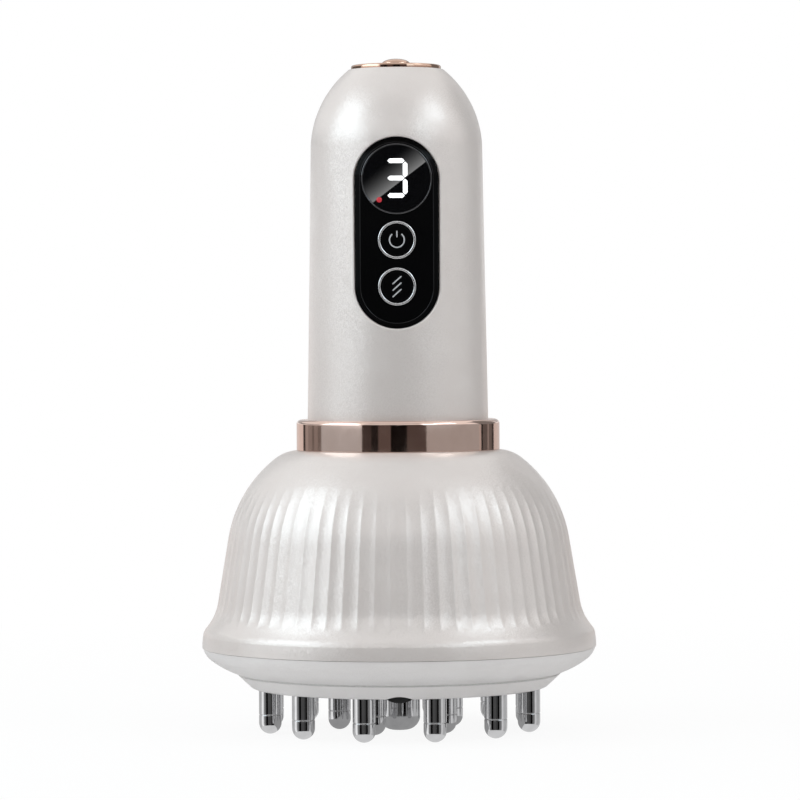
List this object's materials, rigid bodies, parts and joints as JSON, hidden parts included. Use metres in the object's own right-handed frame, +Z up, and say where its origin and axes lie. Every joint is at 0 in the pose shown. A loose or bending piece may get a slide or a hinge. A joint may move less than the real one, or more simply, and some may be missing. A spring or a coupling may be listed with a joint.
{
  "type": "electric meridian brush",
  "caption": "Hand-held vibrating massage brush: bullet handle with a panel of push keys, polished collar, and a fluted bell head with round steel pins underneath.",
  "frame": {"origin": "on the axis, at the level of the pin tips, where the brush stands", "axes": "+Z up the handle, -Y out of the control panel, +X to the right of somebody facing the panel"},
  "size_m": [0.1052, 0.1052, 0.1791],
  "materials": {
    "pearl_plastic": "satin pearl lacquer on moulded plastic",
    "rose_gold": "mirror rose-gold plating",
    "polished_steel": "polished steel",
    "steel_fasteners": "zinc-plated steel",
    "contact_metal": "nickel-plated brass sheet",
    "seal_rubber": "grey silicone rubber",
    "frame_plastic": "moulded engineering plastic",
    "motor_can": "drawn plated steel",
    "weight_metal": "pressed heavy metal",
    "cell_wrap": "shrink-wrapped cell",
    "circuit_board": "glass-fibre board with green mask",
    "switch_plastic": "moulded black plastic",
    "panel_black": "black lacquered plastic",
    "lens_black": "smoked window, nearly black",
    "chrome": "bright chrome"
  },
  "bodies": {
    "housing": {"head_shell": "pearl_plastic", "bottom_cover": "pearl_plastic", "handle_shell": "pearl_plastic", "pin_plate": "pearl_plastic", "collar": "rose_gold", "end_cap": "rose_gold", "outer_pin_01": "polished_steel", "outer_pin_02": "polished_steel", "outer_pin_03": "polished_steel", "outer_pin_04": "polished_steel", "outer_pin_05": "polished_steel", "outer_pin_06": "polished_steel", "outer_pin_07": "polished_steel", "outer_pin_08": "polished_steel", "outer_pin_09": "polished_steel", "outer_pin_10": "polished_steel", "outer_pin_11": "polished_steel", "outer_pin_12": "polished_steel", "inner_pin_01": "polished_steel", "inner_pin_02": "polished_steel", "inner_pin_03": "polished_steel", "inner_pin_04": "polished_steel", "inner_pin_05": "polished_steel", "centre_pin": "polished_steel", "pin_nuts": "steel_fasteners", "cover_screws": "steel_fasteners", "neck_screws": "steel_fasteners", "retainer_screws": "steel_fasteners", "board_screws": "steel_fasteners", "contact_plate": "contact_metal", "battery_contacts": "contact_metal", "plate_seal": "seal_rubber", "motor_cushion": "seal_rubber", "motor_housing": "frame_plastic", "motor_retainer": "frame_plastic", "chassis": "frame_plastic", "vibration_motor": "motor_can", "charge_socket": "motor_can", "battery_cell": "cell_wrap", "main_board": "circuit_board", "charge_board": "circuit_board", "top_board": "circuit_board", "power_switch": "switch_plastic", "level_switch": "switch_plastic", "top_switch": "switch_plastic", "display_module": "switch_plastic", "control_panel": "panel_black", "display_lens": "lens_black", "power_ring": "chrome", "level_ring": "chrome"},
    "power_key": {"power_button": "panel_black", "power_plunger": "switch_plastic"},
    "level_key": {"level_button": "panel_black", "level_plunger": "switch_plastic"},
    "top_key": {"top_button": "rose_gold", "top_plunger": "switch_plastic"},
    "rotor": {"motor_shaft": "steel_fasteners", "eccentric_weight": "weight_metal"}
  },
  "joints": [
    {"name": "power_press", "type": "slide", "parent": "housing", "child": "power_key", "axis": [0, 1, 0], "range_m": [0, 0.0004], "stiffness_N_per_m": 1500},
    {"name": "level_press", "type": "slide", "parent": "housing", "child": "level_key", "axis": [0, 1, 0], "range_m": [0, 0.0004], "stiffness_N_per_m": 1500},
    {"name": "top_press", "type": "slide", "parent": "housing", "child": "top_key", "axis": [0, 0, -1], "range_m": [0, 0.0005], "stiffness_N_per_m": 1500},
    {"name": "motor_spin", "type": "hinge", "parent": "housing", "child": "rotor", "pos_m": [0, 0, 0.05], "axis": [0, 0, 1], "continuous": true}
  ]
}
